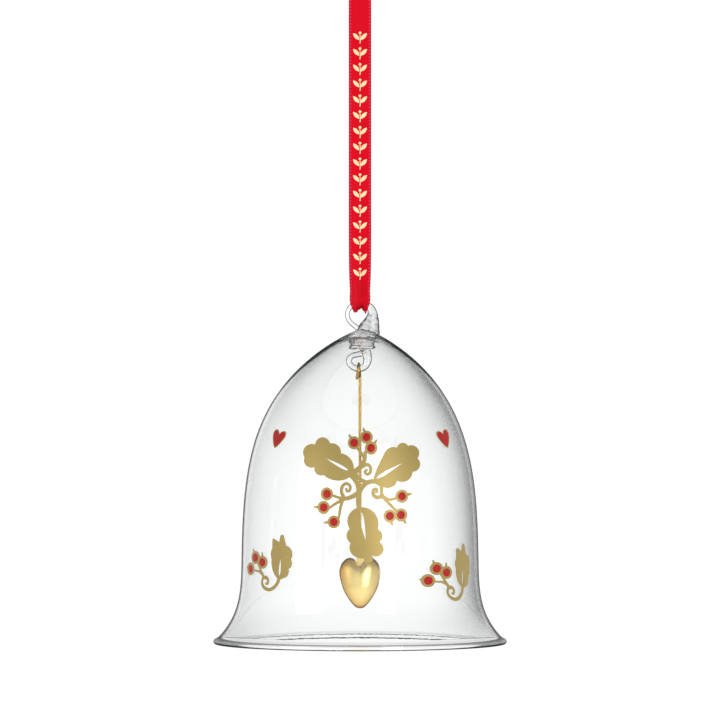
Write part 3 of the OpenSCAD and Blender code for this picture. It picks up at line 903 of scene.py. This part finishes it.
sideSprig = {
    "leaves": [[(5.2, 1.4, 0.9), (2.5, 7.3, 0.5), (2.7, 10.5, 0), (2.75, 13.2, 0.25), (3.5, 13.5, 0),
                (5.7, 12.5, 0),
                (6.0, 14.1, 0.75), (7.5, 14.1, 0), (8.4, 11.5, 1.3), (10.2, 7.3, 0.8), (9.4, 4.4, 0.95),
                (7.4, 1.6, 0.2), (6.1, 1.2, 0)]],
    "slits": [((5.9, 2.1), (6.3, 8.0), 0.85)],
    "stems": [
        ([(5.9, 2.0), (5.4, 0.3), (4.3, -1.0), (2.8, -1.9), (1.0, -2.1), (-0.8, -1.5), (-1.9, -0.4),
          (-1.9, 0.8),
          (-1.3, 1.7)], 1.2, 0.9),
        ([(-1.4, 1.5), (0.1, 1.5), (1.0, 0.6), (0.8, -0.3), (0.1, -0.3)], 1.2, 0.7),
        ([(-1.3, 1.7), (-2.4, 3.0), (-3.6, 4.5), (-5.0, 6.2)], 1.1, 0.6),
        ([(-1.9, 2.4), (-4.0, 3.3), (-6.3, 3.5), (-8.0, 3.8)], 0.8, 0.5),
    ],
    "berries": [(-6.2, 7.5, 120), (-2.1, 6.2, 92), (-9.5, 3.9, 172)],
    "squash": 1.3,
}


def slitShape(base, tip, width):
    # a narrow lens, widest near the leaf's stem
    base, tip = np.array(base), np.array(tip)
    ahead = unit(tip - base)
    across = np.array([-ahead[1], ahead[0]])
    t = np.linspace(0, 1, 12)
    half = (width / 2 * np.sin(math.pi * t ** 0.62) ** 0.9)[:, None]
    line = base + (tip - base) * t[:, None]
    return np.vstack([line + across * half, (line - across * half)[-2:0:-1]])


def crownShape(x, z, turn):
    # the small dried crown at a berry's end
    t = math.radians(turn)
    start = (x + prints["berry"] * 0.75 * math.cos(t), z + prints["berry"] * 0.75 * math.sin(t))
    end = (x + prints["berry"] * 1.42 * math.cos(t), z + prints["berry"] * 1.42 * math.sin(t))
    middle = ((start[0] + end[0]) / 2, (start[1] + end[1]) / 2)
    return stroke([start, middle, end], 1.1, 0.5, 3)


def sprigArt(sprig):
    reds = [disc((x, z), prints["berry"] * prints["enamelShare"], 26, sprig["squash"])
            for x, z, _ in sprig["berries"]]
    solids = [arcsThrough(leaf) for leaf in sprig["leaves"]]
    for line, startWidth, endWidth in sprig["stems"]:
        solids += stroke(line, startWidth, endWidth)
    for x, z, turn in sprig["berries"]:
        solids.append(disc((x, z), prints["berry"], 30, sprig["squash"]))
        if turn is not None:
            solids += crownShape(x, z, turn)
    holes = [slitShape(*slit) for slit in sprig["slits"]] + reds
    return artwork(solids, holes), artwork(reds)


def berryDome(sprig):
    reach = prints["berry"] * prints["enamelShare"]

    def dome(x, z):
        near = min((x - bx) ** 2 + (z - bz) ** 2 for bx, bz, _ in sprig["berries"])
        return prints["enamelDome"] * max(0, 1 - near / reach ** 2)

    return dome


smallHeart = {"width": 6.4, "stretch": 0.93, "edge": 0.32, "lean": 8, "height": 64.3}
heartOutline = [(0, -0.52), (0.2, -0.34), (0.42, -0.02), (0.5, 0.2), (0.44, 0.37), (0.27, 0.42),
                (0.1, 0.34), (0, 0.2)]


def heartArt(lean):
    half = smoothCurve(heartOutline, 5) * (1, smallHeart["stretch"])
    outline = np.vstack([half, (half * (-1, 1))[-2:0:-1]])
    c, s = math.cos(math.radians(lean)), math.sin(math.radians(lean))
    turned = outline @ np.array([[c, s], [-s, c]])
    full = turned * smallHeart["width"]
    red = turned * (smallHeart["width"] - 2 * smallHeart["edge"])
    return artwork([full], [red]), artwork([red])


def firedGoldFinish():
    material, kit, shader = newFinish("firedGold", Metallic=0.45, Roughness=0.4)
    grain, cloud = kit.noise(2200, 2), kit.noise(90, 3)
    tone = kit.mixColour(cloud * 0.7 + grain * 0.3, (0.330, 0.240, 0.068), (0.430, 0.325, 0.105))
    kit.feed(shader.inputs["Base Color"], tone)
    kit.feed(shader.inputs["Roughness"], 0.33 + grain * 0.1 + cloud * 0.14)
    kit.feed(shader.inputs["Normal"], kit.bump(grain * 0.4 + cloud * 0.6, 0.12, 0.0001))
    return material


def enamelFinish():
    material, kit, shader = newFinish("redEnamel", Roughness=0.35, Specular_IOR_Level=0.12)
    grain = kit.noise(700, 2)
    kit.feed(shader.inputs["Base Color"], kit.mixColour(grain, (0.36, 0.014, 0.016), (0.46, 0.026, 0.024)))
    kit.feed(shader.inputs["Roughness"], 0.18 + grain * 0.14)
    kit.feed(shader.inputs["Normal"], kit.bump(grain, 0.08, 0.0001))
    return material


firedGold, enamel = firedGoldFinish(), enamelFinish()


def layPrint(name, art, surface, thickness, finish, nodes, dome=None):
    piece = buildMesh(name, *laidOn(surface, art, thickness, dome), rise=rimZ, sharpAngle=35)
    paint(piece, finish, "bell")
    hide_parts(*nodes)


def laySprig(name, sprig, turn, baseHeight, goldNode, redNode):
    goldArt, redArt = sprigArt(sprig)
    surface = onWall(turn, baseHeight)
    layPrint("goldSprig" + name, goldArt, surface, prints["gold"], firedGold, [goldNode])
    layPrint("redBerries" + name, redArt, surface, prints["enamel"], enamel, [redNode],
             berryDome(sprig))


def layHeart(name, turn, lean, goldNode, redNode):
    goldArt, redArt = heartArt(lean)
    surface = onWall(turn, smallHeart["height"])
    layPrint("goldHeart" + name, goldArt, surface, prints["gold"], firedGold, [goldNode])
    layPrint("redHeart" + name, redArt, surface, prints["enamel"], enamel, [redNode])


laySprig("Front", frontSprig, 0, 0, "gold_sprig_front", "red_berries_front")
laySprig("Left", sideSprig, -51, 20, "gold_sprig_left", "red_berries_left")
laySprig("Right", sideSprig, 49, 17, "gold_sprig_right", "red_berries_right")
layHeart("Left", -51, -smallHeart["lean"], "gold_heart_left", "red_heart_left")
layHeart("Right", 53, smallHeart["lean"], "gold_heart_right", "red_heart_right")
print("prints are fired on")


# clapper: a gold wire hooked on the inner ring, with the heart on its lower eye

wire = {"thickness": 0.9, "upperLoop": 2.05, "lowerLoop": 1.35, "crossing": 0.95}


def clapperWire():
    low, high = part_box("clapper_wire")
    r = wire["thickness"] / 2
    top, bottom = high.z / mm, low.z / mm
    upper, lower = wire["upperLoop"], wire["lowerLoop"]
    upperMiddle, lowerMiddle = top - r - upper, bottom + r + lower
    shank = [(0, 0, z) for z in np.linspace(lowerMiddle + lower + 1.2, upperMiddle - upper - 1.2, 24)]
    # over the ring and down on the left, where the end is pinched to the shank
    loop = []
    for t in np.linspace(-90, 262, 60):
        share = (t + 90) / 352
        q = math.radians(t)
        shift = -wire["crossing"] * share ** 1.5
        loop.append((shift, upper * math.cos(q), upperMiddle + upper * math.sin(q)))
    tail = [(-0.93, -0.2, upperMiddle - upper - 0.4)]
    foot = []
    for t in np.linspace(90, -262, 50):
        share = (90 - t) / 352
        q = math.radians(t)
        foot.append((wire["crossing"] * share ** 1.5, lower * math.cos(q), lowerMiddle + lower * math.sin(q)))
    footEnd = [(0.93, -0.1, lowerMiddle + lower + 0.7), (0.92, 0.0, lowerMiddle + lower + 1.5)]
    line = footEnd[::-1] + foot[::-1] + shank + loop + tail
    line = smoothCurve(line, 2)
    radii = np.full(len(line), r)
    return roundedRod(line, radii, side=(1, 0, 0), sides=18)


heart = {
    "width": 13.0, "height": 15.8, "thickness": 7.6,
    # right half of the outline from the tip up to the notch, x and height over the tip
    "outline": [(0, 0), (1.2, 0.3), (2.5, 1.5), (3.8, 3.3), (5.0, 5.4), (5.85, 7.6), (6.35, 9.9), (6.5, 11.5),
                (6.2, 13.0), (5.5, 14.3), (4.4, 15.4), (3.2, 15.8), (2.0, 15.5), (1.2, 14.7),
                (0.5, 13.7), (0, 13.1)],
    "middle": 8.6,
    "rings": 26,
    "calm": (5.3, 6.9),  # half width and half height of the rings near the middle
    "fullness": 2.3,
    "roundness": 0.56,
    "seam": 0.12,
    "fall": 0.34,  # how much flatter it gets towards the tip, which keeps it off the wall when it swings
    "fallHeight": 6.5,
}


def heartSolid():
    half = smoothCurve(heart["outline"], 5)
    outline = np.vstack([half, (half * (-1, 1))[-2:0:-1]])
    middle = np.array([0, heart["middle"]])
    spread = outline - middle
    turns = np.arctan2(spread[:, 0], -spread[:, 1])
    # towards the middle the rings lose their notch
    calmWidth, calmHeight = heart["calm"]
    calm = np.stack([calmWidth * np.sin(turns), -calmHeight * np.cos(turns)], 1)
    shares = np.sin(np.linspace(0, math.pi / 2, heart["rings"]))[::-1]
    points, faces, rim = [], [], []
    count = len(outline)
    for face in (-1, 1):
        for share in shares[:-1]:
            rim += [share] * count
            soften = (1 - share) ** 0.8
            flat = middle + (spread * (1 - soften) + calm * soften) * share
            bulge = heart["thickness"] / 2 * (1 - share ** heart["fullness"]) ** heart["roundness"]
            for x, z in flat:
                fall = heart["fall"] * max(1 - z / heart["fallHeight"], 0)
                points.append((x, face * max(bulge * (1 - fall), heart["seam"] / 2), z))
        points.append((0, face * heart["thickness"] / 2, heart["middle"]))
        rim.append(0)
    rings = len(shares) - 1
    size = rings * count + 1
    for layer in (0, size):
        for i in range(rings - 1):
            a, b = layer + i * count, layer + (i + 1) * count
            faces += [(a + j, a + (j + 1) % count, b + (j + 1) % count, b + j) for j in range(count)]
        a = layer + (rings - 1) * count
        faces += [(a + j, a + (j + 1) % count, layer + size - 1) for j in range(count)]
    faces += [(j, (j + 1) % count, size + (j + 1) % count, size + j) for j in range(count)]
    return points, faces, rim


def wireFinish():
    material, kit, shader = newFinish("goldWire", Metallic=1.0, Roughness=0.25)
    drawn = kit.noise(1500, 2, kit.stretched((1, 1, 0.05)))
    cloud = kit.noise(300, 2)
    kit.feed(shader.inputs["Base Color"], kit.mixColour(cloud, (0.36, 0.21, 0.04), (0.58, 0.38, 0.10)))
    kit.feed(shader.inputs["Roughness"], 0.2 + drawn * 0.16)
    kit.feed(shader.inputs["Normal"], kit.bump(drawn, 0.15, 0.0001))
    return material


def heartFinish():
    material, kit, shader = newFinish("polishedGold", Metallic=0.8, Roughness=0.3)
    cloud, grain = kit.noise(120, 3), kit.noise(2600, 2)
    tone = kit.mixColour(cloud, (1.0, 0.76, 0.27), (1.0, 0.84, 0.36))
    # painted reflection: amber on the left side and darker towards the seam, in place of dark surroundings
    # seen in the gold
    rim = kit.value("rim")
    where = kit.node("ShaderNodeTexCoord", out=3)
    across = kit.node("ShaderNodeSeparateXYZ", {}, {0: where}) / mm / heart["width"]
    left = (0.5 - across).above(0.75, 0.22)
    tone = kit.mixColour(left * 0.6, tone, (0.80, 0.44, 0.05))
    tone = kit.mixColour(rim ** 5 * 0.85, tone, (0.55, 0.26, 0.02))
    # a near-black line painted along the seam, as a dark reflection
    tone = kit.mixColour(rim.above(0.945, 0.025) * 0.8, tone, (0.16, 0.06, 0.01))
    kit.feed(shader.inputs["Base Color"], tone)
    kit.feed(shader.inputs["Roughness"], 0.30 + grain * 0.06 + cloud * 0.05)
    kit.feed(shader.inputs["Normal"], kit.bump(grain * 0.3 + cloud * 0.7, 0.05, 0.0001))
    return material


clapperRod = buildMesh("clapperWire", *clapperWire())
paint(clapperRod, wireFinish(), "clapper")
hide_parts("clapper_wire")

polished = heartFinish()
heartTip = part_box("heart_clapper")[0].z / mm
heartPoints, heartFaces, heartRim = heartSolid()
heartBody = buildMesh("heartClapper", heartPoints, heartFaces, rise=heartTip)
keepValues(heartBody, rim=heartRim)
paint(heartBody, polished, "heart")
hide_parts("heart_clapper")
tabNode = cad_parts["heart_tab"]
tabNode.data.materials.clear()
tabNode.data.materials.append(polished)
print("clapper is hung")


# light: white all round at the horizon, dimmer overhead, with two soft lamps

light = {
    "horizon": 1.03, "overhead": 0.36, "below": 0.75,
    "key": {"place": (0.62, -1.25, 0.0), "size": (0.4, 1.3), "power": 8},
    "fill": {"place": (-1.0, -0.8, 0.1), "size": (0.6, 0.8), "power": 3},
    "floorDrop": 0.8, "floorReach": 9.0, "floorGlow": 0.47,
}


def makeWorld():
    world = bpy.data.worlds.new("studio")
    bpy.context.scene.world = world
    world.use_nodes = True
    kit = NodeKit(world.node_tree)
    where = kit.node("ShaderNodeTexCoord", out=0)
    height = kit.node("ShaderNodeSeparateXYZ", {}, {0: where}, out=2)
    up = height.above(0.36, 0.20)
    down = height.below(-0.36, 0.22)
    strength = light["horizon"] - up * (light["horizon"] - light["overhead"])
    strength = strength - down * (light["horizon"] - light["below"])
    background = kit.tree.nodes["Background"]
    kit.feed(background.inputs["Color"], (1, 1, 1))
    kit.feed(background.inputs["Strength"], strength)


def makeLamp(name, lamp):
    data = bpy.data.lights.new(name, "AREA")
    data.shape = "RECTANGLE"
    data.size, data.size_y = lamp["size"]
    data.energy = lamp["power"]
    piece = bpy.data.objects.new(name, data)
    bpy.context.scene.collection.objects.link(piece)
    piece.location = lamp["place"]
    target = Vector((0, 0, -0.13))
    piece.rotation_euler = (target - piece.location).to_track_quat("-Z", "Y").to_euler()
    piece.visible_camera = False


def makeFloor():
    reach = light["floorReach"]
    z = rimZ * mm - light["floorDrop"]
    turns = np.arange(64) / 64 * 2 * math.pi
    points = [(reach * math.cos(t) / mm, reach * math.sin(t) / mm, z / mm) for t in turns]
    piece = buildMesh("floor", points, [tuple(range(64))])
    material, _, _ = newFinish("paleFloor", Base_Color=(0.86, 0.86, 0.86), Roughness=0.8,
                               Emission_Color=(1, 1, 1), Emission_Strength=light["floorGlow"])
    piece.data.materials.append(material)


makeWorld()
makeLamp("keyLamp", light["key"])
makeLamp("fillLamp", light["fill"])
makeFloor()
bpy.context.scene.view_settings.view_transform = "Standard"
bpy.context.scene.view_settings.look = "None"
print("lights are on")
